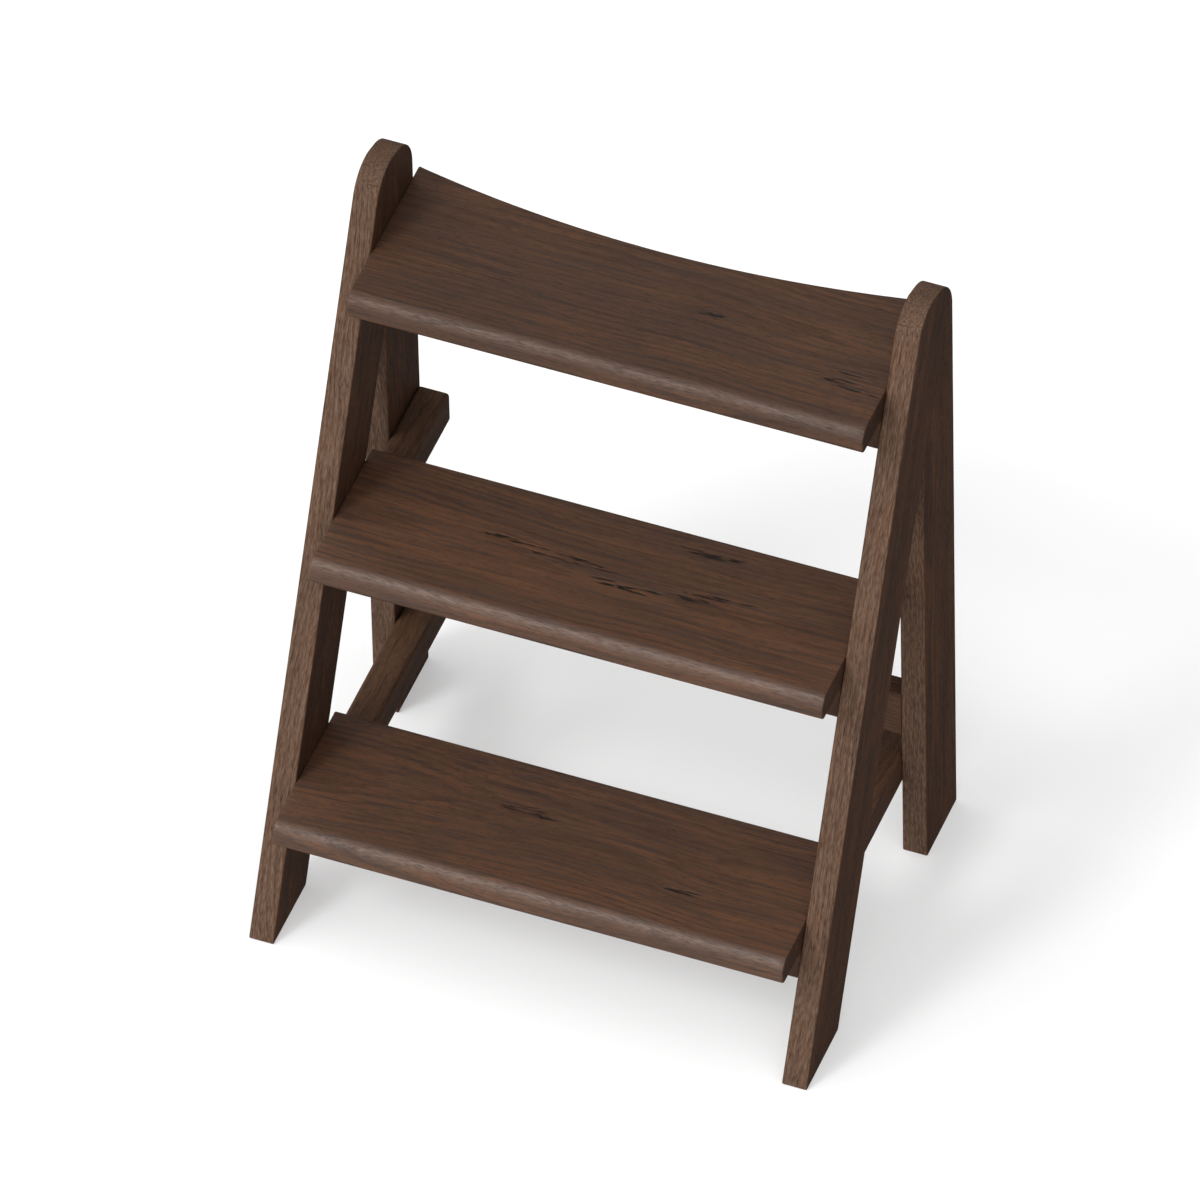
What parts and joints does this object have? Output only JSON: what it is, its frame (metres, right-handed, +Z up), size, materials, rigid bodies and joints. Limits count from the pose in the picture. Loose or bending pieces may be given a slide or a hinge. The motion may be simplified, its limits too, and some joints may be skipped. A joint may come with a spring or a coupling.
{
  "type": "spa steps",
  "caption": "Free-standing wooden steps for climbing into a round hot tub, with A-shaped sides, round-nosed treads and a hollowed rear edge that follows the tub wall.",
  "frame": {"origin": "on the floor, under the centre of the overall box", "axes": "+X across the steps to the right, as a climber faces them; +Y from the front to the tub; +Z up"},
  "size_m": [0.495, 0.3664, 0.634],
  "materials": {
    "side_wood": "dark brown stained wood, satin, grain along each board",
    "tread_wood": "dark brown stained wood, satin, open grain and small cracks",
    "rail_wood": "dark brown stained wood, satin, fine grain",
    "dowel_wood": "raw beech, sanded",
    "screw_steel": "bronze-brown coated steel, satin"
  },
  "bodies": {
    "root": {"left_front_board": "side_wood", "left_rear_leg": "side_wood", "left_lower_rail": "rail_wood", "left_upper_rail": "rail_wood", "left_top_cleat": "rail_wood", "right_front_board": "side_wood", "right_rear_leg": "side_wood", "right_lower_rail": "rail_wood", "right_upper_rail": "rail_wood", "right_top_cleat": "rail_wood", "bottom_tread": "tread_wood", "middle_tread": "tread_wood", "top_tread": "tread_wood", "rear_stretcher": "rail_wood", "left_lower_rail_dowels": "dowel_wood", "right_lower_rail_dowels": "dowel_wood", "left_upper_rail_dowels": "dowel_wood", "right_upper_rail_dowels": "dowel_wood", "stretcher_dowels": "dowel_wood", "left_top_cleat_screws": "screw_steel", "right_top_cleat_screws": "screw_steel", "left_lap_screws": "screw_steel", "right_lap_screws": "screw_steel", "bottom_tread_screws": "screw_steel", "middle_tread_screws": "screw_steel", "top_tread_screws": "screw_steel"}
  },
  "joints": []
}
